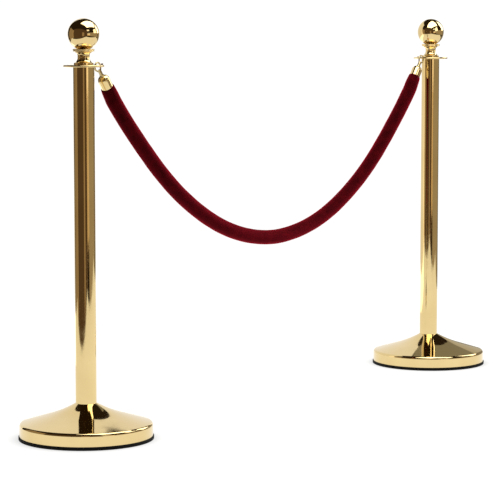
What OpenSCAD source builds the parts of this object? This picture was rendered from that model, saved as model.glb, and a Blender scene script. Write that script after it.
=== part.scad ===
// Velvet rope barrier: two ball-top posts joined by one hanging rope.
// Millimetres, +Z up, +X from the left post to the right post.
// The origin is on the floor, midway between the two posts.

/* [Posts] */
// Distance between the two post axes
post_spacing = 1510; // [1500:1:1520]
// Height of each post from the floor to the top of its ball
post_h = 1000; // [990:1:1010]
// Outer diameter of the post tube
tube_d = 50.8; // [50:0.1:51]
// Wall thickness of the post tube
tube_wall = 1.5; // [1.2:0.1:2]

/* [Base] */
// Diameter of the brass base cover
cover_d = 320; // [310:1:330]
// Sheet thickness of the base cover
cover_wall = 1.5; // [1.2:0.1:2]
// Height of the rubber floor ring
floor_ring_h = 8; // [6:0.5:9]
// Height of the upright band of the base cover
band_h = 24; // [20:1:28]
// Slope of the base cover in degrees, outside its flare
cover_slope = 16.6; // [16:0.1:17.5]

/* [Ring plate] */
// Diameter of the slotted ring plate
plate_d = 98; // [97.6:0.1:99]
// Thickness of the ring plate
plate_t = 5; // [4.8:0.1:5]
// Height of the middle of the ring plate above the floor
plate_z = 888; // [887.6:0.1:888.2]
// Radial width of each kidney slot
slot_w = 13; // [12.5:0.1:13]
// End to end length of each kidney slot
slot_l = 30; // [28:1:34]

/* [Finial] */
// Diameter of the ball
ball_d = 75; // [72:0.5:76]
// Wall thickness of the hollow ball
ball_wall = 1.7; // [1.2:0.1:3]

/* [Rope] */
// Diameter of the velvet rope
rope_d = 38; // [38:0.5:40]
// Thickness of the velvet cover
velvet_t = 1.6; // [1.2:0.1:1.8]
// Diameter of the brass end cap
cap_d = 29; // [28:0.5:29]
// Wall thickness of the end cap
cap_wall = 1.5; // [1.4:0.1:1.8]

/* [Snap hook] */
// Diameter of the hook wire
wire_d = 4.2; // [3.8:0.1:4.2]
// Radius of the hook loop, at the middle of the wire
loop_r = 10.3; // [10.2:0.1:10.5]

/* [Hidden] */

$fn = 96;
left = -1;
right = 1;
polished_brass = "#c9a24a";
steel = "#8c9096";
running = 0.08;

post_x = post_spacing / 2;
tube_r = tube_d / 2;
bore_r = tube_r - tube_wall;
ball_r = ball_d / 2;
ball_z = post_h - ball_r;
plate_r = plate_d / 2;
plate_top = plate_z + plate_t / 2;
plate_bottom = plate_z - plate_t / 2;

// Base
cover_r = cover_d / 2;
shoulder_r = 8;
flare_r = 330;
throat_slope = 29;
throat_r = tube_r + 0.6;
shoulder_z = floor_ring_h + band_h;
cone_r = cover_r - shoulder_r * (1 - sin(cover_slope));
cone_z = shoulder_z + shoulder_r * cos(cover_slope);
flare_x = throat_r + flare_r * sin(throat_slope);
flare_start = flare_x - flare_r * sin(cover_slope);
flare_z = cone_z + (cone_r - flare_start) * tan(cover_slope) + flare_r * cos(cover_slope);
throat_z = flare_z - flare_r * cos(throat_slope);
tube_foot_z = 70;
weight_r = cover_r - 3;
disc_t = 13;
recess_r = 22;
recess_top = 24;
rod_r = 6;
rod_hole_r = rod_r + running;

// Neck, as heights above the ring plate
seat_h = 32.5;
stud_r = 4;

// Route of the rope from the middle to the mouth of the right cap, as [x, z].
// The last three points lie on the axis of the cap.
half_route = [
  [80, 433], [160, 449], [240, 476], [320, 515], [400, 565], [470, 620], [530, 676],
  [592, 739], [642, 795], [656, 815], [670, 835]
];
route = concat(
  [for (i = [len(half_route) - 1:-1:0]) [-half_route[i][0], half_route[i][1]]],
  [[0, 427]],
  half_route
);
mouth = half_route[len(half_route) - 1];
straight_start = half_route[len(half_route) - 3];
cap_angle = atan2(mouth[1] - straight_start[1], mouth[0] - straight_start[0]);
rope_sides = 12;

// Hook, in its own frame: loop centre at the origin, +Z from the cap to the loop
mouth_drop = 61;
wire_r = wire_d / 2;
rivet_z = -15;
rivet_r = 1.25;
shank_top = -9.5;
shank_bottom = -24.5;
shank_w = 8;
shank_t = 6.6;
gate_slot = 3;
gate_t = 2.6;
tip_reach = 22.4;
stem_r = 3;
stem_bottom = -31.5;
cap_top = -26.5;
dome_r = 12;
cap_sleeve = 24;
cap_r = cap_d / 2;

// Points along an arc in a plane, from angle a0 to a1
function arc(cx, cy, r, a0, a1, n) = [for (i = [0:n]) [
  cx + r * cos(a0 + (a1 - a0) * i / n),
  cy + r * sin(a0 + (a1 - a0) * i / n)
]];

// Places a part on the left or the right post
module at_post(side) {
  translate([side * post_x, 0, 0]) children();
}

// Places a part of the hook or cap, modelled upright, on the left or the right end of the rope
module at_end(side) {
  mirror([side == left ? 0 : 1, 0, 0])
    translate([-mouth[0] - mouth_drop * cos(cap_angle), 0, mouth[1] + mouth_drop * sin(cap_angle)])
      rotate([0, cap_angle - 90, 0])
        children();
}

// A flat ring
module ring(outer, inner, z0, z1) {
  translate([0, 0, z0])
    difference() {
      cylinder(r = outer, h = z1 - z0);
      translate([0, 0, -1]) cylinder(r = inner, h = z1 - z0 + 2);
    }
}

// ---- Base ----

module floor_ring() {
  color("#161616") rotate_extrude() polygon([
    [cover_r - 14, 0], [cover_r + 1, 0], [cover_r + 2, 1], [cover_r + 2, floor_ring_h - 1],
    [cover_r + 1, floor_ring_h], [cover_r - 14, floor_ring_h]
  ]);
}

// Heavy disc that stands on the floor ring, with a boss that carries the tube
module base_weight() {
  inner_r = cover_r - 14.5;
  disc_top = floor_ring_h + disc_t;
  color("#3a3a3c") rotate_extrude() polygon([
    [rod_hole_r, recess_top], [recess_r, recess_top], [recess_r, 4], [inner_r, 4],
    [inner_r, floor_ring_h], [weight_r, floor_ring_h], [weight_r, disc_top - 2],
    [weight_r - 2, disc_top], [60, disc_top], [32, disc_top + 18], [28, tube_foot_z],
    [rod_hole_r, tube_foot_z]
  ]);
}

// Outline of the cover at a distance t inside its outer face, from the band to the throat
function cover_line(t) = concat(
  [[cover_r - t, floor_ring_h]],
  arc(cover_r - shoulder_r, shoulder_z, shoulder_r - t, 0, 90 - cover_slope, 8),
  arc(flare_x, flare_z, flare_r + t, 270 - cover_slope, 270 - throat_slope, 8)
);

module base_cover() {
  outer = cover_line(0);
  inner = cover_line(cover_wall);
  reversed = [for (i = [len(inner) - 1:-1:0]) inner[i]];
  color(polished_brass)
    difference() {
      rotate_extrude($fn = 180) polygon(concat(
        outer,
        [[tube_r - 1, throat_z], [tube_r - 1, inner[len(inner) - 1][1]]],
        reversed
      ));
      cylinder(r = tube_r + running, h = 2 * throat_z);
    }
}

module base_washer() {
  color(steel) ring(18, rod_hole_r, recess_top - 2.5, recess_top);
}

module base_nut() {
  color(steel)
    difference() {
      translate([0, 0, recess_top - 12.5]) cylinder(r = 11, h = 10, $fn = 6);
      cylinder(r = rod_hole_r, h = recess_top);
    }
}

// ---- Post ----

module tie_rod() {
  color(steel) translate([0, 0, 9]) cylinder(r = rod_r, h = plate_top);
}

module post_tube() {
  color(polished_brass) ring(tube_r, bore_r, tube_foot_z, plate_bottom);
}

module plug(z0) {
  color(steel)
    difference() {
      translate([0, 0, z0]) cylinder(r = bore_r - running, h = 22);
      cylinder(r = rod_hole_r, h = post_h);
    }
}

module bottom_plug() {
  plug(tube_foot_z);
}

module top_plug() {
  plug(plate_bottom - 22);
}

// One kidney slot on the +X side
module kidney_slot() {
  mid_r = plate_r - 4.3 - slot_w / 2;
  half_angle = (slot_l - slot_w) / mid_r * 90 / PI;
  rotate([0, 0, -half_angle])
    rotate_extrude(angle = 2 * half_angle)
      translate([mid_r - slot_w / 2, -plate_t]) square([slot_w, 2 * plate_t]);
  for (a = [-half_angle, half_angle])
    rotate([0, 0, a]) translate([mid_r, 0, -plate_t]) cylinder(d = slot_w, h = 2 * plate_t);
}

module ring_plate() {
  rim_r = plate_t / 2;
  color(polished_brass) translate([0, 0, plate_z])
    difference() {
      union() {
        cylinder(r = plate_r - rim_r, h = plate_t, center = true);
        rotate_extrude() translate([plate_r - rim_r, 0]) circle(r = rim_r, $fn = 32);
      }
      for (a = [0:90:270]) rotate([0, 0, a]) kidney_slot();
      cylinder(r = rod_hole_r, h = 2 * plate_t, center = true);
    }
}

// ---- Finial ----

// Outline of the turned neck above the ring plate: collar, flare, bead, cove and cup
function neck_line() = concat(
  [[0, 0], [22.9, 0], [23.5, 0.6], [23.5, 4.4], [23.1, 4.9], [22.3, 5.1]],
  arc(28.4, 17.5, 14, 241, 184, 8),
  arc(13.9, 18.4, 1.2, -75, 75, 4),
  arc(26.3, 20.4, 12, 176, 137, 6),
  [[18.9, 28.8]],
  arc(18.9, 29.6, 0.9, -60, 60, 4),
  [[20.6, 30.6], [24.6, 31.2]],
  arc(24.4, 32.6, 1.4, -60, 60, 4),
  [[24.9, 34.2]],
  arc(24.6, 36.3, 1.5, -70, 90, 6),
  [[23.4, 37.6], [22.4, 36.2]],
  arc(10, 45, 15, -38, -66, 4),
  [[13.5, seat_h], [0, seat_h]]
);

module finial_neck() {
  color(polished_brass) translate([0, 0, plate_top])
    difference() {
      rotate_extrude() polygon(neck_line());
      translate([0, 0, -1]) cylinder(r = rod_hole_r, h = 12);
      translate([0, 0, 14]) cylinder(r = stud_r + running, h = 30);
    }
}

module finial_stud() {
  color(steel) translate([0, 0, plate_top + 15]) cylinder(r = stud_r, h = 32);
}

module finial_ball() {
  seat_z = plate_top + seat_h;
  color(polished_brass)
    difference() {
      union() {
        difference() {
          translate([0, 0, ball_z]) sphere(r = ball_r);
          translate([0, 0, ball_z]) sphere(r = ball_r - ball_wall);
        }
        translate([0, 0, seat_z]) cylinder(r = 8, h = 18);
      }
      translate([0, 0, seat_z - 1]) cylinder(r = stud_r + running, h = 17);
    }
}

// ---- Rope ----

// Direction of the route at point i
function heading(i) =
  let (a = route[max(i - 1, 0)], b = route[min(i + 1, len(route) - 1)], d = b - a)
  d / norm(d);

// Ring of points of radius r about the point p, square to the heading d
function section(p, d, r) = [for (k = [0:rope_sides - 1])
  let (c = r * cos(360 * k / rope_sides), s = r * sin(360 * k / rope_sides))
  [p[0] - d[1] * c, s, p[1] + d[0] * c]];

// Faces that join ring a to ring b, each a list of first point numbers
function skin(a, b) = [for (k = [0:rope_sides - 1])
  let (n = (k + 1) % rope_sides)
  [a + k, a + n, b + n, b + k]];

// Steps from the nearer end of the rope, which sets the radius there
function from_end(i) = min(i, len(route) - 1 - i);
function outer_r(i) = from_end(i) == 0 ? rope_d / 2 - 2.4 : from_end(i) == 1 ? rope_d / 2 - 0.8 : rope_d / 2;
function inner_r(i) = from_end(i) < 2 ? cap_r + 0.7 : rope_d / 2 - velvet_t;
function core_r(i) = from_end(i) < 2 ? cap_r - cap_wall - 0.3 : rope_d / 2 - velvet_t - 0.3;

module velvet_cover() {
  last = len(route) - 1;
  n = rope_sides;
  inner_start = (last + 1) * n;
  outer = [for (i = [0:last]) each section(route[i], heading(i), outer_r(i))];
  inner = [for (i = [0:last]) each section(route[i], heading(i), inner_r(i))];
  faces = concat(
    [for (i = [0:last - 1]) each skin((i + 1) * n, i * n)],
    [for (i = [0:last - 1]) each skin(inner_start + i * n, inner_start + (i + 1) * n)],
    skin(0, inner_start),
    skin(inner_start + last * n, last * n)
  );
  color("#5e0b14") polyhedron(concat(outer, inner), faces);
}

module rope_core() {
  last = len(route) - 1;
  n = rope_sides;
  points = [for (i = [0:last]) each section(route[i], heading(i), core_r(i))];
  faces = concat(
    [for (i = [0:last - 1]) each skin((i + 1) * n, i * n)],
    [[for (k = [0:n - 1]) k]],
    [[for (k = [n - 1:-1:0]) last * n + k]]
  );
  color("#d8cdb8") polyhedron(points, faces);
}

// ---- End cap and swivel ----

module end_cap() {
  bottom = -mouth_drop - cap_sleeve;
  dome_z = cap_top - dome_r;
  dome_x = cap_r - dome_r;
  bore = cap_r - cap_wall;
  hole = stem_r + running;
  color(polished_brass)
    rotate_extrude() polygon(concat(
      [[hole, cap_top]],
      arc(dome_x, dome_z, dome_r, 86, 0, 10),
      [[cap_r, bottom], [bore, bottom]],
      arc(dome_x, dome_z, dome_r - cap_wall, 0, 80, 8),
      [[hole, dome_z + dome_r - cap_wall]]
    ));
}

module swivel_washer() {
  color(polished_brass) ring(5.6, stem_r + running, cap_top + 0.1, shank_bottom - 0.1);
}

// ---- Snap hook ----

// Wire bent round the loop from angle a0 to a1, where 90 degrees is the top
module bend(a0, a1) {
  rotate([90, 0, 0])
    rotate([0, 0, a0])
      rotate_extrude(angle = a1 - a0)
        translate([loop_r, 0]) circle(r = wire_r, $fn = 32);
}

// Cylinder of radius r about the rivet's axis
module about_rivet(r, y0, y1) {
  translate([0, y1, rivet_z]) rotate([90, 0, 0]) cylinder(r = r, h = y1 - y0);
}

module hook_body() {
  color(polished_brass)
    difference() {
      union() {
        difference() {
          bend(28, 286);
          intersection() {
            about_rivet(tip_reach, -5, 5);
            translate([4, -6, 0]) cube([20, 12, 30]);
          }
        }
        intersection() {
          translate([0, 0, shank_bottom]) cylinder(r = 4.4, h = shank_top - shank_bottom);
          translate([-shank_w / 2, -shank_t / 2, shank_bottom]) cube([shank_w, shank_t, 20]);
        }
        translate([0, 0, stem_bottom]) cylinder(r = stem_r, h = shank_bottom - stem_bottom + 1);
        translate([0, 0, stem_bottom]) cylinder(r = 5.5, h = 2.2);
      }
      translate([-3, -gate_slot / 2, shank_bottom + 1.5]) cube([12, gate_slot, 17]);
      about_rivet(rivet_r, -6, 6);
    }
}

module hook_rivet() {
  color(polished_brass) {
    about_rivet(rivet_r, -shank_t / 2 - 0.5, shank_t / 2 + 0.5);
    about_rivet(2, -shank_t / 2 - 0.9, -shank_t / 2);
    about_rivet(2, shank_t / 2, shank_t / 2 + 0.9);
  }
}

// The gate, its arm, thumb tab and pivot eye, in one piece
module hook_trigger() {
  color(polished_brass)
    difference() {
      union() {
        intersection() {
          bend(-45, 38);
          about_rivet(tip_reach - 0.4, -5, 5);
        }
        about_rivet(2.7, -gate_t / 2, gate_t / 2);
        translate([0, gate_t / 2, 0]) rotate([90, 0, 0]) linear_extrude(gate_t) polygon([
          [-1.9, -13.1], [2, -16.8], [4.6, -13.5], [9, -7.4], [10.6, -4], [8.2, -4], [4.4, -9.2]
        ]);
        thumb_tab();
      }
      about_rivet(rivet_r + 0.06, -6, 6);
      about_rivet(2.8, 0.1, gate_t);
    }
}

// Curled tab that the thumb presses
module thumb_tab() {
  mid = [11.6, 2.5];
  translate([0, 2.5, 0]) rotate([90, 0, 0]) linear_extrude(5) polygon(concat(
    arc(mid[0], mid[1], 9.1, 252, 322, 10),
    arc(mid[0], mid[1], 7.6, 322, 252, 10)
  ));
}

// Coil of thin wire round the rivet that closes the gate
module trigger_spring() {
  turns = 2;
  steps = 16;
  wire = 0.2;
  coil_r = 2;
  pitch = 0.48;
  rise = pitch / 360;
  last = turns * steps;
  sides = 6;
  points = [for (i = [0:last]) let (a = 360 * i / steps) each [for (k = [0:sides - 1])
    let (b = 360 * k / sides, r = coil_r + wire * cos(b))
    [r * cos(a), 0.34 + rise * a + wire * sin(b), rivet_z + r * sin(a)]]];
  faces = concat(
    [for (i = [0:last - 1]) each [for (k = [0:sides - 1]) let (n = (k + 1) % sides)
      [i * sides + k, i * sides + n, (i + 1) * sides + n, (i + 1) * sides + k]]],
    [[for (k = [sides - 1:-1:0]) k]],
    [[for (k = [0:sides - 1]) last * sides + k]]
  );
  color(steel) polyhedron(points, faces);
}

at_post(left) floor_ring();  // left_floor_ring
at_post(left) base_weight();  // left_base_weight
at_post(left) base_cover();  // left_base_cover
at_post(left) base_washer();  // left_base_washer
at_post(left) base_nut();  // left_base_nut
at_post(left) tie_rod();  // left_tie_rod
at_post(left) post_tube();  // left_post_tube
at_post(left) bottom_plug();  // left_bottom_plug
at_post(left) top_plug();  // left_top_plug
at_post(left) ring_plate();  // left_ring_plate
at_post(left) finial_neck();  // left_finial_neck
at_post(left) finial_stud();  // left_finial_stud
at_post(left) finial_ball();  // left_finial_ball
at_post(right) floor_ring();  // right_floor_ring
at_post(right) base_weight();  // right_base_weight
at_post(right) base_cover();  // right_base_cover
at_post(right) base_washer();  // right_base_washer
at_post(right) base_nut();  // right_base_nut
at_post(right) tie_rod();  // right_tie_rod
at_post(right) post_tube();  // right_post_tube
at_post(right) bottom_plug();  // right_bottom_plug
at_post(right) top_plug();  // right_top_plug
at_post(right) ring_plate();  // right_ring_plate
at_post(right) finial_neck();  // right_finial_neck
at_post(right) finial_stud();  // right_finial_stud
at_post(right) finial_ball();  // right_finial_ball
velvet_cover();
rope_core();
at_end(left) end_cap();  // left_end_cap
at_end(left) swivel_washer();  // left_swivel_washer
at_end(left) hook_body();  // left_hook_body
at_end(left) hook_rivet();  // left_hook_rivet
at_end(left) hook_trigger();  // left_hook_trigger
at_end(left) trigger_spring();  // left_trigger_spring
at_end(right) end_cap();  // right_end_cap
at_end(right) swivel_washer();  // right_swivel_washer
at_end(right) hook_body();  // right_hook_body
at_end(right) hook_rivet();  // right_hook_rivet
at_end(right) hook_trigger();  // right_hook_trigger
at_end(right) trigger_spring();  // right_trigger_spring
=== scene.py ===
import math

import bmesh
import bpy
from mathutils import Matrix, Quaternion, Vector, noise


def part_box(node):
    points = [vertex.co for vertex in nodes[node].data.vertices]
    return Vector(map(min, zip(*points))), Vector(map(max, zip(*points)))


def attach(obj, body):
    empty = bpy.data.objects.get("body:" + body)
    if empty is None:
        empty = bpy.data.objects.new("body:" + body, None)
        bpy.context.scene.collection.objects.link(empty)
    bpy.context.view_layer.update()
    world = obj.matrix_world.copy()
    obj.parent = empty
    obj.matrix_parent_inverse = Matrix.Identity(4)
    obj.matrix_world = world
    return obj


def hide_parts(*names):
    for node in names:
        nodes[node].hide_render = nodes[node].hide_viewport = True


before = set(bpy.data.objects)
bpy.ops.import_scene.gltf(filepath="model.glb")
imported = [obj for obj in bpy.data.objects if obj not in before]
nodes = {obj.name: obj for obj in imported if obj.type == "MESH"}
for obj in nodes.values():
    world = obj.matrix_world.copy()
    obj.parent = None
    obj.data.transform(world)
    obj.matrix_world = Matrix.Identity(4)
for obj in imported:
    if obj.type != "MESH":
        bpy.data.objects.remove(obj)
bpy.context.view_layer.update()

# Velvet rope barrier: two ball-top brass posts joined by one hanging rope.
# Metres unless a name or a comment says millimetres. The row runs along X.

MM = 0.001

# ---------------------------------------------------------------- sizes from the frame


def middle(node):
    low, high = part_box(node)
    return (low + high) / 2


def half_width(node):
    low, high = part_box(node)
    return (high.y - low.y) / 2


SIDES = {"left": -1, "right": 1}
POST = {side: Vector((middle(f"{side}_post_tube").x, 0, 0)) for side in SIDES}
TUBE_R = half_width("left_post_tube")
TUBE_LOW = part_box("left_post_tube")[0].z
TUBE_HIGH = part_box("left_post_tube")[1].z
COVER_R = half_width("left_base_cover")
COVER_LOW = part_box("left_base_cover")[0].z
RING_R = half_width("left_floor_ring")
RING_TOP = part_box("left_floor_ring")[1].z
PLATE_R = half_width("left_ring_plate")
PLATE_Z = middle("left_ring_plate").z
PLATE_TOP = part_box("left_ring_plate")[1].z
PLATE_HALF = PLATE_TOP - PLATE_Z
BALL_R = half_width("left_finial_ball")
BALL_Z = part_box("left_finial_ball")[1].z - BALL_R
BALL_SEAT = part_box("left_finial_ball")[0].z

SEGMENTS = 160
# Clearance between the base cover's edge and the tube
RUNNING = 0.08 * MM
# A lathe point nearer the axis than this closes its outline there
ON_AXIS = 1e-7

# ---------------------------------------------------------------- the rope's route

# Half of the route as (x, z) in millimetres, from the middle to the mouth of the right cap
HALF_ROUTE = [
    (80, 433), (160, 449), (240, 476), (320, 515), (400, 565), (470, 620), (530, 676),
    (592, 739), (642, 795), (656, 815), (670, 835),
]
ROUTE = [Vector((-x, 0, z)) * MM for x, z in reversed(HALF_ROUTE)]
ROUTE += [Vector((0, 0, 427)) * MM]
ROUTE += [Vector((x, 0, z)) * MM for x, z in HALF_ROUTE]
# Rope: radius at the middle and at its mouths, thickness of the velvet,
# then radius and depth of its bore over the cap's sleeve
ROPE_R = 19 * MM
MOUTH_R = 16.6 * MM
VELVET_T = 1.6 * MM
SLEEVE_R = 15.1 * MM
SLEEVE_DEPTH = 26 * MM
# Distance from the mouth over which the velvet widens
FLARE = 45 * MM
ROUTE_STEP = 3.5 * MM
SPLINE_STEPS = 24

# ---------------------------------------------------------------- camera

CAMERA_PLACE = (-4.7317, -3.5075, 0.9899)
CAMERA_YAW = math.radians(-52.82)
CAMERA_PITCH = math.radians(5.80)
CAMERA_LENS = 161.3


def make_camera():
    data = bpy.data.cameras.new("camera")
    data.sensor_width = 36
    data.lens = CAMERA_LENS
    camera = bpy.data.objects.new("camera", data)
    camera.location = CAMERA_PLACE
    camera.rotation_euler = (math.pi / 2 - CAMERA_PITCH, 0, CAMERA_YAW)
    bpy.context.scene.collection.objects.link(camera)
    bpy.context.scene.camera = camera


make_camera()

# ---------------------------------------------------------------- material helpers


def new_material(name):
    material = bpy.data.materials.new(name)
    material.use_nodes = True
    tree = material.node_tree
    tree.nodes.clear()
    shader = tree.nodes.new("ShaderNodeBsdfPrincipled")
    output = tree.nodes.new("ShaderNodeOutputMaterial")
    tree.links.new(shader.outputs[0], output.inputs["Surface"])
    return material, tree, shader


def object_point(tree, scale=(1, 1, 1)):
    """Object coordinates, stretched by scale."""
    coordinates = tree.nodes.new("ShaderNodeTexCoord")
    mapping = tree.nodes.new("ShaderNodeMapping")
    mapping.inputs["Scale"].default_value = scale
    tree.links.new(coordinates.outputs["Object"], mapping.inputs["Vector"])
    return mapping.outputs["Vector"]


def noise_of(tree, point, scale, detail=3.0, roughness=0.5):
    texture = tree.nodes.new("ShaderNodeTexNoise")
    texture.inputs["Scale"].default_value = scale
    texture.inputs["Detail"].default_value = detail
    texture.inputs["Roughness"].default_value = roughness
    tree.links.new(point, texture.inputs["Vector"])
    return texture.outputs["Fac"]


def spread_of(tree, value, low, high, out_low=0.0, out_high=1.0):
    """Maps low..high to out_low..out_high, clamped."""
    node = tree.nodes.new("ShaderNodeMapRange")
    node.inputs["From Min"].default_value = low
    node.inputs["From Max"].default_value = high
    node.inputs["To Min"].default_value = out_low
    node.inputs["To Max"].default_value = out_high
    tree.links.new(value, node.inputs["Value"])
    return node.outputs["Result"]


def blend_colours(tree, factor, first, second):
    node = tree.nodes.new("ShaderNodeMix")
    node.data_type = "RGBA"
    tree.links.new(factor, node.inputs["Factor"])
    for socket, colour in ((node.inputs[6], first), (node.inputs[7], second)):
        if isinstance(colour, tuple):
            socket.default_value = (*colour, 1)
        else:
            tree.links.new(colour, socket)
    return node.outputs[2]


def times(tree, first, second, operation="MULTIPLY"):
    node = tree.nodes.new("ShaderNodeMath")
    node.operation = operation
    for socket, value in ((node.inputs[0], first), (node.inputs[1], second)):
        if isinstance(value, (int, float)):
            socket.default_value = value
        else:
            tree.links.new(value, socket)
    return node.outputs[0]


def bump(tree, shader, height, distance, strength=1.0):
    node = tree.nodes.new("ShaderNodeBump")
    node.inputs["Strength"].default_value = strength
    node.inputs["Distance"].default_value = distance
    tree.links.new(height, node.inputs["Height"])
    tree.links.new(node.outputs["Normal"], shader.inputs["Normal"])


# ---------------------------------------------------------------- materials


def make_brass(name, bright, deep, smooth, worn, turned=True):
    """Lacquered brass: cloudy tint, patches of duller polish, fine turning lines."""
    material, tree, shader = new_material(name)
    point = object_point(tree)
    cloud = spread_of(tree, noise_of(tree, point, 9, 3), 0.35, 0.7)
    tree.links.new(blend_colours(tree, cloud, bright, deep), shader.inputs["Base Color"])
    smudge = spread_of(tree, noise_of(tree, point, 38, 5, 0.6), 0.4, 0.75, smooth, worn)
    tree.links.new(smudge, shader.inputs["Roughness"])
    lines_scale = (0.02, 0.02, 1) if turned else (1, 1, 1)
    lines = noise_of(tree, object_point(tree, lines_scale), 900, 2)
    bump(tree, shader, lines, 0.02 * MM, 0.12)
    shader.inputs["Metallic"].default_value = 1
    shader.inputs["Coat Weight"].default_value = 0.15
    shader.inputs["Coat Roughness"].default_value = 0.04
    return material


VELVET_DARK = (0.024, 0.0004, 0.001)
VELVET_LIGHT = (0.06, 0.001, 0.0022)
VELVET_SHEEN = (0.9, 0.02, 0.06)


def make_velvet():
    """Deep red pile: brushed streaks along the rope, fine pile bump and a crimson sheen."""
    material, tree, shader = new_material("velvet")
    lay = tree.nodes.new("ShaderNodeAttribute")
    lay.attribute_name = "rope_lay"
    stretch = tree.nodes.new("ShaderNodeMapping")
    stretch.inputs["Scale"].default_value = (14, 14, 3)
    tree.links.new(lay.outputs["Vector"], stretch.inputs["Vector"])
    streak = spread_of(tree, noise_of(tree, stretch.outputs["Vector"], 5, 4, 0.6), 0.3, 0.7)
    brushed = spread_of(tree, noise_of(tree, object_point(tree), 55, 4, 0.6), 0.35, 0.7)
    shade = times(tree, streak, brushed, "ADD")
    shade = spread_of(tree, shade, 0.4, 1.6)
    colour = blend_colours(tree, shade, VELVET_DARK, VELVET_LIGHT)
    tree.links.new(colour, shader.inputs["Base Color"])
    pile = noise_of(tree, object_point(tree), 1400, 3, 0.7)
    tufts = noise_of(tree, object_point(tree), 260, 3, 0.6)
    bump(tree, shader, times(tree, pile, times(tree, tufts, 0.4), "ADD"), 0.2 * MM, 0.3)
    shader.inputs["Roughness"].default_value = 0.85
    shader.inputs["Specular IOR Level"].default_value = 0.02
    shader.inputs["Sheen Weight"].default_value = 1
    shader.inputs["Sheen Roughness"].default_value = 0.42
    shader.inputs["Sheen Tint"].default_value = (*VELVET_SHEEN, 1)
    return material


def make_rough(name, low, high, scale, roughness, depth, metallic=0.0, specular=0.5):
    """A cast, moulded or woven surface: two tones and a bump of the same grain."""
    material, tree, shader = new_material(name)
    point = object_point(tree)
    grain = noise_of(tree, point, scale, 4, 0.6)
    broad = spread_of(tree, noise_of(tree, point, scale / 12, 3), 0.35, 0.7)
    tree.links.new(blend_colours(tree, broad, low, high), shader.inputs["Base Color"])
    polish = spread_of(tree, grain, 0.3, 0.7, roughness - 0.08, roughness + 0.08)
    tree.links.new(polish, shader.inputs["Roughness"])
    bump(tree, shader, grain, depth, 0.6)
    shader.inputs["Metallic"].default_value = metallic
    shader.inputs["Specular IOR Level"].default_value = specular
    return material


GOLD = (0.77, 0.60, 0.29)
GOLD_DEEP = (0.71, 0.54, 0.25)
CAST = (0.62, 0.51, 0.27)
CAST_DEEP = (0.44, 0.35, 0.17)
brass = make_brass("brass_polished", GOLD, GOLD_DEEP, 0.045, 0.10)
brass_cast = make_brass("brass_hook", CAST, CAST_DEEP, 0.12, 0.24, turned=False)
velvet = make_velvet()
RUBBER_DARK = (0.004, 0.004, 0.004)
RUBBER_LIGHT = (0.008, 0.008, 0.007)
rubber = make_rough("rubber_black", RUBBER_DARK, RUBBER_LIGHT, 700, 0.65, 0.15 * MM, specular=0.1)
iron = make_rough("iron_painted", (0.03, 0.03, 0.032), (0.055, 0.055, 0.06), 300, 0.62, 0.5 * MM)
steel = make_rough("steel_zinc", (0.46, 0.47, 0.5), (0.6, 0.6, 0.62), 500, 0.34, 0.05 * MM, 1.0)
cotton = make_rough("cotton_cord", (0.62, 0.57, 0.47), (0.78, 0.73, 0.63), 900, 0.9, 0.4 * MM)

# ---------------------------------------------------------------- mesh helpers


def add_piece(name, points, faces, material, sharp=35):
    mesh = bpy.data.meshes.new(name)
    mesh.from_pydata(points, [], faces)
    mesh.validate()
    mesh.update()
    for polygon in mesh.polygons:
        polygon.use_smooth = True
    mesh.set_sharp_from_angle(angle=math.radians(sharp))
    mesh.materials.append(material)
    piece = bpy.data.objects.new(name, mesh)
    bpy.context.scene.collection.objects.link(piece)
    return piece


def weigh_normals(piece):
    modifier = piece.modifiers.new("normals", "WEIGHTED_NORMAL")
    modifier.keep_sharp = True
    modifier.weight = 100


def band(first, second, count):
    """Faces that join the ring of points from first on to the ring from second on."""
    return [
        (first + k, first + (k + 1) % count, second + (k + 1) % count, second + k)
        for k in range(count)
    ]


def lathe(name, outline, place, material, segments=SEGMENTS):
    """Turns a closed outline of (radius, height) in metres about the local Z of place."""
    points, faces, starts = [], [], []
    for radius, height in outline:
        starts.append((len(points), radius > ON_AXIS))
        if radius > ON_AXIS:
            for k in range(segments):
                a = 2 * math.pi * k / segments
                points.append(place @ Vector((radius * math.cos(a), radius * math.sin(a), height)))
        else:
            points.append(place @ Vector((0, 0, height)))
    for i, (start, is_ring) in enumerate(starts):
        nxt, next_ring = starts[(i + 1) % len(starts)]
        if is_ring and next_ring:
            faces += band(start, nxt, segments)
        elif is_ring:
            faces += [(start + k, start + (k + 1) % segments, nxt) for k in range(segments)]
        elif next_ring:
            faces += [(start, nxt + (k + 1) % segments, nxt + k) for k in range(segments)]
    piece = add_piece(name, points, faces, material)
    weigh_normals(piece)
    return piece


def arc(cx, cz, radius, start, end, steps=10):
    """Points of an arc in the outline plane, angles in degrees."""
    turn = [math.radians(start + (end - start) * i / steps) for i in range(steps + 1)]
    return [(cx + radius * math.cos(a), cz + radius * math.sin(a)) for a in turn]


def in_mm(outline):
    return [(r * MM, z * MM) for r, z in outline]


def on_post(side, height=0.0):
    return Matrix.Translation(POST[side] + Vector((0, 0, height)))


def finish_piece(piece, body, slot, *replaced):
    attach(piece, body)
    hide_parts(*replaced)
    return piece


# ---------------------------------------------------------------- the velvet rope


def catmull(a, b, c, d, t):
    """Point at t, from 0 to 1, of the Catmull-Rom curve from b to c."""
    square = 2 * a - 5 * b + 4 * c - d
    cube = 3 * b - a - 3 * c + d
    return 0.5 * (2 * b + (c - a) * t + square * t**2 + cube * t**3)


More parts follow.
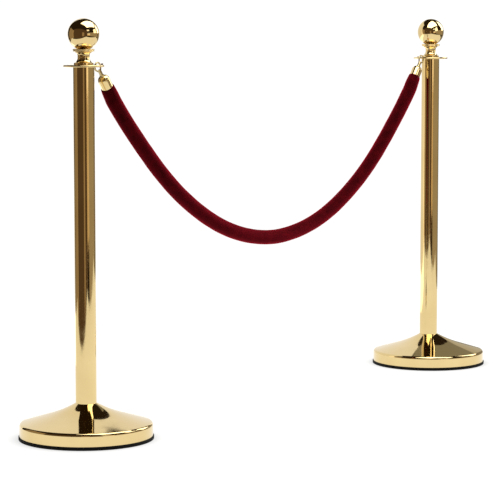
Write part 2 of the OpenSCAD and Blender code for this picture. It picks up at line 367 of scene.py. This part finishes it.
def smooth_route(step):
    """The route as one smooth curve: points about step apart, with the distance along it."""
    ends = [2 * ROUTE[0] - ROUTE[1], *ROUTE, 2 * ROUTE[-1] - ROUTE[-2]]
    fine = []
    for i in range(1, len(ends) - 2):
        for k in range(SPLINE_STEPS):
            fine.append(catmull(ends[i - 1], ends[i], ends[i + 1], ends[i + 2], k / SPLINE_STEPS))
    fine.append(ROUTE[-1].copy())
    along = [0.0]
    for p, q in zip(fine, fine[1:]):
        along.append(along[-1] + (q - p).length)
    count = round(along[-1] / step)
    even, i = [], 0
    for k in range(count + 1):
        s = along[-1] * k / count
        while i < len(fine) - 2 and along[i + 1] < s:
            i += 1
        t = (s - along[i]) / (along[i + 1] - along[i])
        even.append((fine[i].lerp(fine[i + 1], t), s))
    return even, along[-1]


def sweep(route, ring_radius, sides):
    """Rings of points round the route, and for each its place in the pile's own coordinates.

    ring_radius(distance, angle) gives each radius.
    """
    points, lay = [], []
    for i, (centre, s) in enumerate(route):
        ahead = route[min(i + 1, len(route) - 1)][0] - route[max(i - 1, 0)][0]
        ahead.normalize()
        up = Vector((-ahead.z, 0, ahead.x))
        for k in range(sides):
            a = 2 * math.pi * k / sides
            radius = ring_radius(s, a)
            points.append(centre + up * (radius * math.cos(a)) + Vector((0, radius * math.sin(a), 0)))
            lay.append((math.cos(a) * ROPE_R, math.sin(a) * ROPE_R, s))
    return points, lay


ROPE_SIDES = 96
GATHERS = 11
GATHER_DEPTH = 0.28 * MM
GATHER_REACH = 26 * MM
GATHER_START = 4 * MM
UNEVENNESS = 0.32 * MM
# The seam runs along the rope's far and lower side
SEAM_ANGLE = math.radians(118)
SEAM_DEPTH = 0.75 * MM
SEAM_WIDTH = 1.3 * MM
# Cotton core: radius inside the caps and length of a full twist, both in metres,
# then its radius between the strands and their height in millimetres
CORE_TIED_R = 12.5 * MM
CORE_TWIST = 0.11
CORE_R = 14.9
CORE_LOBE = 1.7
velvet_route, velvet_length = smooth_route(ROUTE_STEP)


def velvet_outer(s, angle):
    """Radius of the pile: rounded mouths, gathers near the caps, soft unevenness, one seam."""
    end = min(s, velvet_length - s)
    opening = max(0.0, 1 - end / FLARE)
    radius = ROPE_R - (ROPE_R - MOUTH_R) * opening**2.2
    gather = GATHER_DEPTH * math.exp(-end / GATHER_REACH) * (1 - math.exp(-end / GATHER_START))
    radius += gather * math.cos(GATHERS * angle + 4 * noise.noise(Vector((s * 9, 0, 3))))
    where = Vector((math.cos(angle) * 1.3, math.sin(angle) * 1.3, s * 28))
    radius += UNEVENNESS * noise.noise(where)
    turn = (angle - SEAM_ANGLE + math.pi) % (2 * math.pi) - math.pi
    radius -= SEAM_DEPTH * math.exp(-((turn * ROPE_R / SEAM_WIDTH) ** 2))
    return radius


def velvet_inner(s, angle):
    end = min(s, velvet_length - s)
    return SLEEVE_R if end < SLEEVE_DEPTH else ROPE_R - VELVET_T - 0.2 * MM


def core_radius(s, angle):
    """Three twisted cotton strands, tied down to fit inside the caps at both ends."""
    end = min(s, velvet_length - s)
    if end < SLEEVE_DEPTH:
        return CORE_TIED_R
    lobes = abs(math.cos(1.5 * (angle + 2 * math.pi * s / CORE_TWIST)))
    return (CORE_R + CORE_LOBE * lobes) * MM


def lip_ring(where, reach, radius):
    """One ring of the turned-in lip: reach beyond the mouth, at that radius."""
    ahead = (velvet_route[1][0] - velvet_route[0][0]).normalized()
    if where == "end":
        ahead = (velvet_route[-1][0] - velvet_route[-2][0]).normalized()
    centre = velvet_route[0][0] if where == "start" else velvet_route[-1][0]
    outward = -ahead if where == "start" else ahead
    up = Vector((-ahead.z, 0, ahead.x))
    ring = []
    for k in range(ROPE_SIDES):
        a = 2 * math.pi * k / ROPE_SIDES
        across = up * (radius * math.cos(a))
        ring.append(centre + outward * reach + across + Vector((0, radius * math.sin(a), 0)))
    return ring


def make_velvet_rope():
    outer, lay = sweep(velvet_route, velvet_outer, ROPE_SIDES)
    inner_route = [velvet_route[0]]
    inner_route += velvet_route[1:-1:3]
    inner_route += [velvet_route[-1]]
    inner, inner_lay = sweep(inner_route, velvet_inner, ROPE_SIDES)
    lip_mid = (MOUTH_R + SLEEVE_R) / 2
    lip_half = (MOUTH_R - SLEEVE_R) / 2
    turns = [math.radians(a) for a in (30, 60, 90, 120, 150)]
    lip = [(lip_half * math.sin(a), lip_half * math.cos(a)) for a in turns]
    end_lip = [lip_ring("end", reach, lip_mid + offset) for reach, offset in lip]
    start_lip = [lip_ring("start", reach, lip_mid - offset) for reach, offset in lip]
    rings = [outer[i:i + ROPE_SIDES] for i in range(0, len(outer), ROPE_SIDES)]
    lays = [lay[i:i + ROPE_SIDES] for i in range(0, len(lay), ROPE_SIDES)]
    inner_rings = [inner[i:i + ROPE_SIDES] for i in range(0, len(inner), ROPE_SIDES)]
    inner_lays = [inner_lay[i:i + ROPE_SIDES] for i in range(0, len(inner_lay), ROPE_SIDES)]
    rings += end_lip + inner_rings[::-1] + start_lip
    lays += [lays[-1]] * len(end_lip) + inner_lays[::-1] + [lays[0]] * len(start_lip)
    points = [p for ring in rings for p in ring]
    faces = []
    for i in range(len(rings)):
        faces += band(((i + 1) % len(rings)) * ROPE_SIDES, i * ROPE_SIDES, ROPE_SIDES)
    piece = add_piece("velvet_rope", points, faces, velvet, 60)
    attribute = piece.data.attributes.new("rope_lay", "FLOAT_VECTOR", "POINT")
    attribute.data.foreach_set("vector", [v for row in lays for p in row for v in p])
    return finish_piece(piece, "rope", "red_velvet", "velvet_cover")


def make_rope_core():
    route = [velvet_route[0], *velvet_route[1:-1:2], velvet_route[-1]]
    sides = 48
    points, _ = sweep(route, core_radius, sides)
    rings = len(route)
    faces = [f for i in range(rings - 1) for f in band((i + 1) * sides, i * sides, sides)]
    faces.append(tuple(range(sides)))
    faces.append(tuple(reversed(range((rings - 1) * sides, rings * sides))))
    piece = add_piece("cotton_core", points, faces, cotton, 60)
    return finish_piece(piece, "rope", "core_cotton", "rope_core")


velvet_rope = make_velvet_rope()
cotton_core = make_rope_core()

# ---------------------------------------------------------------- base

# Base cover, in millimetres and degrees: shoulder and flare radii, slope of the cone and at the tube
SHOULDER = 8
FLARE_R = 330
SLOPE = 16.6
THROAT_SLOPE = 29
BAND_TOP = 32
COVER_WALL = 1.5


def cover_outline():
    """Closed outline of the spun cover in millimetres.

    It goes up the outer face, round the throat and down the inner face.
    """
    slope, steep = math.radians(SLOPE), math.radians(THROAT_SLOPE)
    rim = COVER_R / MM
    low = COVER_LOW / MM
    throat = TUBE_R / MM + 0.6
    edge = TUBE_R / MM + RUNNING / MM
    cone_r = rim - SHOULDER * (1 - math.sin(slope))
    cone_z = BAND_TOP + SHOULDER * math.cos(slope)
    flare_x = throat + FLARE_R * math.sin(steep)
    flare_start = flare_x - FLARE_R * math.sin(slope)
    flare_z = cone_z + (cone_r - flare_start) * math.tan(slope) + FLARE_R * math.cos(slope)

    def face(t, end_r):
        """Shoulder and flare at t millimetres inside the outer face, up to the radius end_r."""
        end = math.degrees(math.asin((flare_x - end_r) / (FLARE_R + t)))
        return [
            *arc(rim - SHOULDER, BAND_TOP, SHOULDER - t, 0, 90 - SLOPE, 20),
            *arc(flare_x, flare_z, FLARE_R + t, 270 - SLOPE, 270 - end, 24),
        ]

    outer = face(0, throat)
    inner = face(COVER_WALL, edge)
    top = outer[-1][1]
    return [
        (rim - COVER_WALL, low + 0.3), (rim - 0.9, low), (rim - 0.3, low + 0.1), (rim, low + 0.6),
        *outer, (throat - 0.25, top + 0.05), (edge, top - 0.1), *reversed(inner),
    ]


# Rubber ring, in millimetres: its width, and the spacing of the grooves under it
RING_WIDTH = 16
GROOVE_PITCH = 3.2
GROOVES = 3


def make_base(side):
    place = on_post(side)
    cover = lathe(f"{side}_cover", in_mm(cover_outline()), place, brass, 224)
    finish_piece(cover, "root", "polished_brass", f"{side}_base_cover")
    outer, top = RING_R / MM, RING_TOP / MM
    groove = [(outer - 11.4, 0), (outer - 11.8, 0.9), (outer - 12.6, 0.9), (outer - 13.0, 0)]
    grooves = sorted((r + i * GROOVE_PITCH, z) for i in range(GROOVES) for r, z in groove)
    outline = [
        (outer - RING_WIDTH, 0.6), (outer - RING_WIDTH + 0.6, 0), *grooves,
        *arc(outer - 1.2, 1.2, 1.2, -90, 0, 5),
        (outer, top / 2 - 0.25), (outer - 0.25, top / 2), (outer, top / 2 + 0.25),
        *arc(outer - 1.6, top - 1.6, 1.6, 0, 90, 6),
        (outer - RING_WIDTH, top),
    ]
    ring = lathe(f"{side}_rubber_ring", in_mm(outline), place, rubber, 192)
    finish_piece(ring, "root", "black_rubber", f"{side}_floor_ring")


# ---------------------------------------------------------------- post


def make_tube(side):
    wall, chamfer = 1.5, 0.35
    outer = TUBE_R / MM
    bore = outer - wall
    low, high = TUBE_LOW / MM, TUBE_HIGH / MM
    outline = [
        (bore, low + chamfer), (bore + chamfer, low), (outer - chamfer, low), (outer, low + chamfer),
        (outer, 300), (outer, 600), (outer, high - chamfer), (outer - chamfer, high),
        (bore + chamfer, high), (bore, high - chamfer),
    ]
    tube = lathe(f"{side}_tube", in_mm(outline), on_post(side), brass, 192)
    finish_piece(tube, "root", "polished_brass", f"{side}_post_tube")


# Kidney slots, in millimetres: width, length, rim outside them, radius of the broken edges
SLOT_W = 13
SLOT_L = 30
SLOT_RIM = 4.3
EDGE = 0.5
ROD_HOLE_R = 6.1


def unit(angle):
    return Vector((math.cos(angle), math.sin(angle)))


def slot_loop(turn):
    """Outline of one kidney slot in millimetres, as (point, direction into the slot)."""
    mid = PLATE_R / MM - SLOT_RIM - SLOT_W / 2
    half = (SLOT_L - SLOT_W) / mid / 2
    radius = SLOT_W / 2
    loop = []
    for i in range(12):
        out = unit(turn - half + 2 * half * i / 12)
        loop.append((out * (mid + radius), -out))
    for i in range(17):
        a = turn + half
        centre = unit(a) * mid
        out = unit(a + math.pi * i / 16)
        loop.append((centre + out * radius, -out))
    for i in range(1, 12):
        out = unit(turn + half - 2 * half * i / 12)
        loop.append((out * (mid - radius), out))
    for i in range(16):
        a = turn - half
        centre = unit(a) * mid
        out = unit(a + math.pi + math.pi * i / 16)
        loop.append((centre + out * radius, -out))
    return loop


def circle_loop(radius, steps, facing):
    loop = []
    for i in range(steps):
        out = unit(2 * math.pi * i / steps)
        loop.append((out * radius, out * facing))
    return loop


def make_plate(side):
    """The ring plate: half-round rim, four kidney slots with broken edges, a hole for the rod."""
    half = PLATE_HALF / MM
    rim_turn = [math.radians(90 - 180 * i / 16) for i in range(17)]
    rim = [(half * math.cos(a), half * math.sin(a)) for a in rim_turn]
    corner_turn = [math.radians(18 * i) for i in range(6)]
    corner = [(EDGE * (math.sin(a) - 1), half - EDGE + EDGE * math.cos(a)) for a in corner_turn]
    wall = corner + [(d, -z) for d, z in reversed(corner)]
    loops = [(circle_loop(PLATE_R / MM - half, SEGMENTS, 1), rim)]
    loops += [(slot_loop(math.pi / 2 * i), wall) for i in range(4)]
    loops += [(circle_loop(ROD_HOLE_R, 32, -1), wall)]
    points, faces, tops, bottoms = [], [], [], []
    place = on_post(side, PLATE_Z)
    for number, (loop, profile) in enumerate(loops):
        count = len(loop)
        for step, (reach, height) in enumerate(profile):
            start = len(points)
            for point, out in loop:
                x, y = point + out * reach
                points.append(place @ (Vector((x, y, height)) * MM))
            if step == 0:
                tops.append((start, count))
            else:
                faces += band(start - count, start, count)
        bottoms.append((len(points) - count, count))
        if number == 0:
            faces = [tuple(reversed(f)) for f in faces]
    piece = add_piece(f"{side}_slotted_plate", points, faces, brass, 40)
    close_caps(piece, tops, bottoms)
    weigh_normals(piece)
    finish_piece(piece, "root", "polished_brass", f"{side}_ring_plate")


def close_caps(piece, tops, bottoms):
    """Fills the flat top and bottom faces between the loops."""
    mesh = bmesh.new()
    mesh.from_mesh(piece.data)
    mesh.verts.ensure_lookup_table()
    for loops in (tops, bottoms):
        edges = []
        for start, count in loops:
            for k in range(count):
                pair = (mesh.verts[start + k], mesh.verts[start + (k + 1) % count])
                edges.append(mesh.edges.get(pair))
        bmesh.ops.triangle_fill(mesh, edges=edges, use_beauty=True)
    bmesh.ops.recalc_face_normals(mesh, faces=mesh.faces)
    for face in mesh.faces:
        face.smooth = True
    mesh.to_mesh(piece.data)
    mesh.free()
    piece.data.set_sharp_from_angle(angle=math.radians(40))


# ---------------------------------------------------------------- finial

STUD_R = 4
BALL_WALL = 1.7


def neck_outline():
    """Closed outline of the turned neck in millimetres above the ring plate."""
    seat = (BALL_SEAT - PLATE_TOP) / MM
    return [
        (ROD_HOLE_R, 0), (22.7, 0), *arc(23.0, 0.5, 0.5, -60, 0, 3), *arc(22.7, 4.3, 0.8, 0, 75, 6),
        (22.3, 5.12),
        *arc(28.4, 17.5, 14, 241, 184, 16),
        *arc(13.9, 18.4, 1.2, -75, 75, 8),
        *arc(26.3, 20.4, 12, 176, 137, 12),
        (18.9, 28.8), *arc(18.9, 29.6, 0.9, -60, 60, 6), (20.6, 30.6), (24.6, 31.2),
        *arc(24.4, 32.6, 1.4, -60, 60, 6), (24.9, 34.2), *arc(24.6, 36.3, 1.5, -70, 90, 10),
        (23.4, 37.6), (22.4, 36.2), *arc(10, 45, 15, -38, -66, 8), (13.5, seat),
        (STUD_R + 0.1, seat), (STUD_R + 0.1, 14), (ROD_HOLE_R, 10.9),
    ]


def ball_outline():
    """Closed outline of the hollow ball with its boss, in millimetres."""
    radius, centre, seat = BALL_R / MM, BALL_Z / MM, BALL_SEAT / MM
    boss, flow = 8, 1.2
    low = -math.degrees(math.acos((boss + flow) / (radius + flow)))
    lift = centre + (radius + flow) * math.sin(math.radians(low))
    inner = radius - BALL_WALL
    inner_low = -math.degrees(math.acos(boss / inner))
    return [
        (STUD_R + 0.1, seat), (boss - 0.3, seat), (boss, seat + 0.3), (boss, lift),
        *arc(boss + flow, lift, flow, 180, 180 + low, 4)[1:],
        *arc(0, centre, radius, low, 90, 96)[1:-1],
        (0, centre + radius), (0, centre + inner),
        *arc(0, centre, inner, 90, inner_low, 40)[1:],
        (boss, seat + 18), (STUD_R + 0.1, seat + 18),
    ]


def make_finial(side):
    neck = lathe(f"{side}_neck", in_mm(neck_outline()), on_post(side, PLATE_TOP), brass, 128)
    finish_piece(neck, "root", "polished_brass", f"{side}_finial_neck")
    ball = lathe(f"{side}_ball", in_mm(ball_outline()), on_post(side), brass, 192)
    finish_piece(ball, "root", "polished_brass", f"{side}_finial_ball")


# ---------------------------------------------------------------- end caps

# End caps, in millimetres; heights are from the centre of the hook's loop
MOUTH_DROP = 61
CAP_TOP = -26.5
DOME_R = 12
CAP_R = 14.5
CAP_WALL = 1.5
CAP_SLEEVE = 24
STEM_HOLE = 3.08


def end_frame(side):
    """Local frame of one rope end: +Z from the rope towards the hook, origin at the loop's centre."""
    mouth = ROUTE[0] if side == "left" else ROUTE[-1]
    behind = ROUTE[2] if side == "left" else ROUTE[-3]
    axis = (mouth - behind).normalized()
    turn = Vector((0, 0, 1)).rotation_difference(axis).to_matrix().to_4x4()
    return Matrix.Translation(mouth + axis * MOUTH_DROP * MM) @ turn


def cap_outline():
    dome_x, dome_z = CAP_R - DOME_R, CAP_TOP - DOME_R
    bottom = -MOUTH_DROP - CAP_SLEEVE
    bore = CAP_R - CAP_WALL
    return [
        (bore, bottom + 0.3), (bore + 0.3, bottom), (CAP_R - 0.3, bottom), (CAP_R, bottom + 0.3),
        *arc(dome_x, dome_z, DOME_R, 0, 86, 24),
        (STEM_HOLE + 0.15, CAP_TOP), (STEM_HOLE, CAP_TOP - 0.15),
        (STEM_HOLE, dome_z + DOME_R - CAP_WALL),
        *arc(dome_x, dome_z, DOME_R - CAP_WALL, 80, 0, 16),
    ]


def make_cap(side):
    cap = lathe(f"{side}_cap", in_mm(cap_outline()), end_frame(side), brass, 96)
    return finish_piece(cap, "rope", "polished_brass", f"{side}_end_cap")


# ---------------------------------------------------------------- build

for side in SIDES:
    make_base(side)
    make_tube(side)
    make_plate(side)
    make_finial(side)
    make_cap(side)

CARRIED = {
    "base_weight": (iron, "cast_iron"),
    "base_washer": (steel, "steel"),
    "base_nut": (steel, "steel"),
    "tie_rod": (steel, "steel"),
    "bottom_plug": (steel, "steel"),
    "top_plug": (steel, "steel"),
    "finial_stud": (steel, "steel"),
    "swivel_washer": (brass_cast, "polished_brass"),
    "hook_body": (brass_cast, "polished_brass"),
    "hook_rivet": (brass_cast, "polished_brass"),
    "hook_trigger": (brass_cast, "polished_brass"),
    "trigger_spring": (steel, "steel"),
}
for side in SIDES:
    for kind, (material, slot) in CARRIED.items():
        node = nodes[f"{side}_{kind}"]
        node.data.materials.clear()
        node.data.materials.append(material)

# ---------------------------------------------------------------- studio

LOOK = Vector((math.sin(-CAMERA_YAW), math.cos(CAMERA_YAW), 0))
RIGHT = Vector((LOOK.y, -LOOK.x, 0))
UP = Vector((0, 0, 1))
ROW_MIDDLE = Vector((0, 0, 0.9))
ROOM_DARK = (0.022, 0.014, 0.008)
CAMERA_WHITE = 1.05
FLOOR_LOW = (-2.3, -2.6)
FLOOR_HIGH = (2.6, 2.3)


def towards(azimuth, elevation):
    """Unit vector: azimuth 0 points back to the camera and 90 to its right, in degrees."""
    a, e = math.radians(azimuth), math.radians(elevation)
    return (math.cos(a) * -LOOK + math.sin(a) * RIGHT) * math.cos(e) + UP * math.sin(e)


def panel(name, place, facing, width, height, colour, radiance, roll=0.0):
    """A soft rectangular light that the camera doesn't see, with the same radiance all over.

    It is turned by roll degrees in its own plane.
    """
    light = bpy.data.lights.new(name, "AREA")
    light.shape = "RECTANGLE"
    light.size = width
    light.size_y = height
    light.color = colour
    light.energy = radiance * math.pi * width * height
    lamp = bpy.data.objects.new(name, light)
    lamp.location = place
    turn = Quaternion((0, 0, 1), math.radians(roll))
    lamp.rotation_euler = ((-facing).to_track_quat("Z", "Y") @ turn).to_euler()
    lamp.visible_camera = False
    bpy.context.scene.collection.objects.link(lamp)


def far_panel(name, azimuth, elevation, width, height, colour, radiance, distance=6.0):
    """A panel seen at that direction from the middle of the row; width and height in degrees."""
    out = towards(azimuth, elevation)
    place = ROW_MIDDLE + out * distance
    size = [2 * distance * math.tan(math.radians(angle / 2)) for angle in (width, height)]
    panel(name, place, -out, *size, colour, radiance)


def make_world():
    """White for the camera, and a dark warm room for every other ray."""
    world = bpy.data.worlds.new("world")
    bpy.context.scene.world = world
    world.use_nodes = True
    tree = world.node_tree
    tree.nodes.clear()
    rays = tree.nodes.new("ShaderNodeLightPath")
    room = tree.nodes.new("ShaderNodeBackground")
    room.inputs["Color"].default_value = (*ROOM_DARK, 1)
    white = tree.nodes.new("ShaderNodeBackground")
    white.inputs["Color"].default_value = (1, 1, 1, 1)
    white.inputs["Strength"].default_value = CAMERA_WHITE
    mix = tree.nodes.new("ShaderNodeMixShader")
    output = tree.nodes.new("ShaderNodeOutputWorld")
    tree.links.new(rays.outputs["Is Camera Ray"], mix.inputs[0])
    tree.links.new(room.outputs[0], mix.inputs[1])
    tree.links.new(white.outputs[0], mix.inputs[2])
    tree.links.new(mix.outputs[0], output.inputs["Surface"])


def make_floor():
    """A plain white floor that glows evenly, with a painted contact shadow: ambient occlusion dims its
    glow close to the bases.
    """
    (west, south), (east, north) = FLOOR_LOW, FLOOR_HIGH
    points = [(west, south, 0), (east, south, 0), (east, north, 0), (west, north, 0)]
    material = bpy.data.materials.new("floor_white")
    material.use_nodes = True
    tree = material.node_tree
    tree.nodes.clear()
    diffuse = tree.nodes.new("ShaderNodeBsdfDiffuse")
    diffuse.inputs["Color"].default_value = (0.12, 0.12, 0.12, 1)
    # Painted contact shadow: the floor's glow darkens where ambient occlusion finds the bases close
    # by, whatever the lamps do
    painted_contact_shadow = tree.nodes.new("ShaderNodeAmbientOcclusion")
    painted_contact_shadow.samples = 16
    painted_contact_shadow.inputs["Distance"].default_value = 0.1
    glow = tree.nodes.new("ShaderNodeEmission")
    tree.links.new(spread_of(tree, painted_contact_shadow.outputs["AO"], 0.15, 0.93, 0.45, 1.0), glow.inputs["Strength"])
    both = tree.nodes.new("ShaderNodeAddShader")
    output = tree.nodes.new("ShaderNodeOutputMaterial")
    tree.links.new(diffuse.outputs[0], both.inputs[0])
    tree.links.new(glow.outputs[0], both.inputs[1])
    tree.links.new(both.outputs[0], output.inputs["Surface"])
    mesh = bpy.data.meshes.new("floor")
    mesh.from_pydata(points, [], [(0, 1, 2, 3)])
    mesh.materials.append(material)
    floor = bpy.data.objects.new("floor", mesh)
    bpy.context.scene.collection.objects.link(floor)


WHITE = (1.0, 0.985, 0.96)
PALE = (1.0, 0.95, 0.75)
CREAM = (1.0, 0.92, 0.75)
SAND = (1.0, 0.84, 0.64)
AMBER = (1.0, 0.76, 0.50)
WARM = (1.0, 0.74, 0.46)
BROWN = (1.0, 0.62, 0.36)
TO_CAMERA = Vector((0, -1, 0))
DOWN = Vector((0, 0, -1))
TO_LEFT = Vector((-1, 0, 0))
make_world()
make_floor()
# Placed from the reflections in the photo: each post mirrors its own part of these
panel("backdrop", Vector((1.24, 1.15, 0.5)), TO_CAMERA, 3.36, 2.72, WHITE, 0.97, roll=20)
panel("backdrop_end", Vector((3.3, 1.2, 1.1)), TO_CAMERA, 2.2, 3.4, PALE, 0.25)
panel("left_wall", Vector((-2.15, 2.2, 1.0)), Vector((0.33, -0.94, 0)), 2.45, 2.2, AMBER, 0.31)
panel("right_end", Vector((3.3, 0.1, 0.5)), TO_LEFT, 2.2, 1.4, CREAM, 0.25)
panel("softbox", Vector((0.15, -0.65, 2.55)), DOWN, 2.6, 1.7, WHITE, 3.7)
panel("side_softbox", Vector((0.6, -1.35, 1.5)), Vector((-0.7, 0.7, 0)), 0.9, 0.7, WHITE, 2.2)
panel("right_softbox", Vector((3.0, -0.7, 2.2)), TO_LEFT, 1.6, 2.0, WHITE, 3.4)
far_panel("low_window", 36, 3.5, 18, 12, WHITE, 0.6)
far_panel("window_sill", 35, -3.5, 20, 12, WARM, 0.68)
far_panel("high_window", 33, 26, 16, 9, WHITE, 1.6)
far_panel("door", -2, 0, 13, 24, WARM, 0.27)
far_panel("right_wall", 84, -1, 78, 26, SAND, 0.38)
far_panel("room", -25, 4, 110, 62, BROWN, 0.08, distance=7.0)

bpy.context.scene.view_settings.view_transform = "Standard"
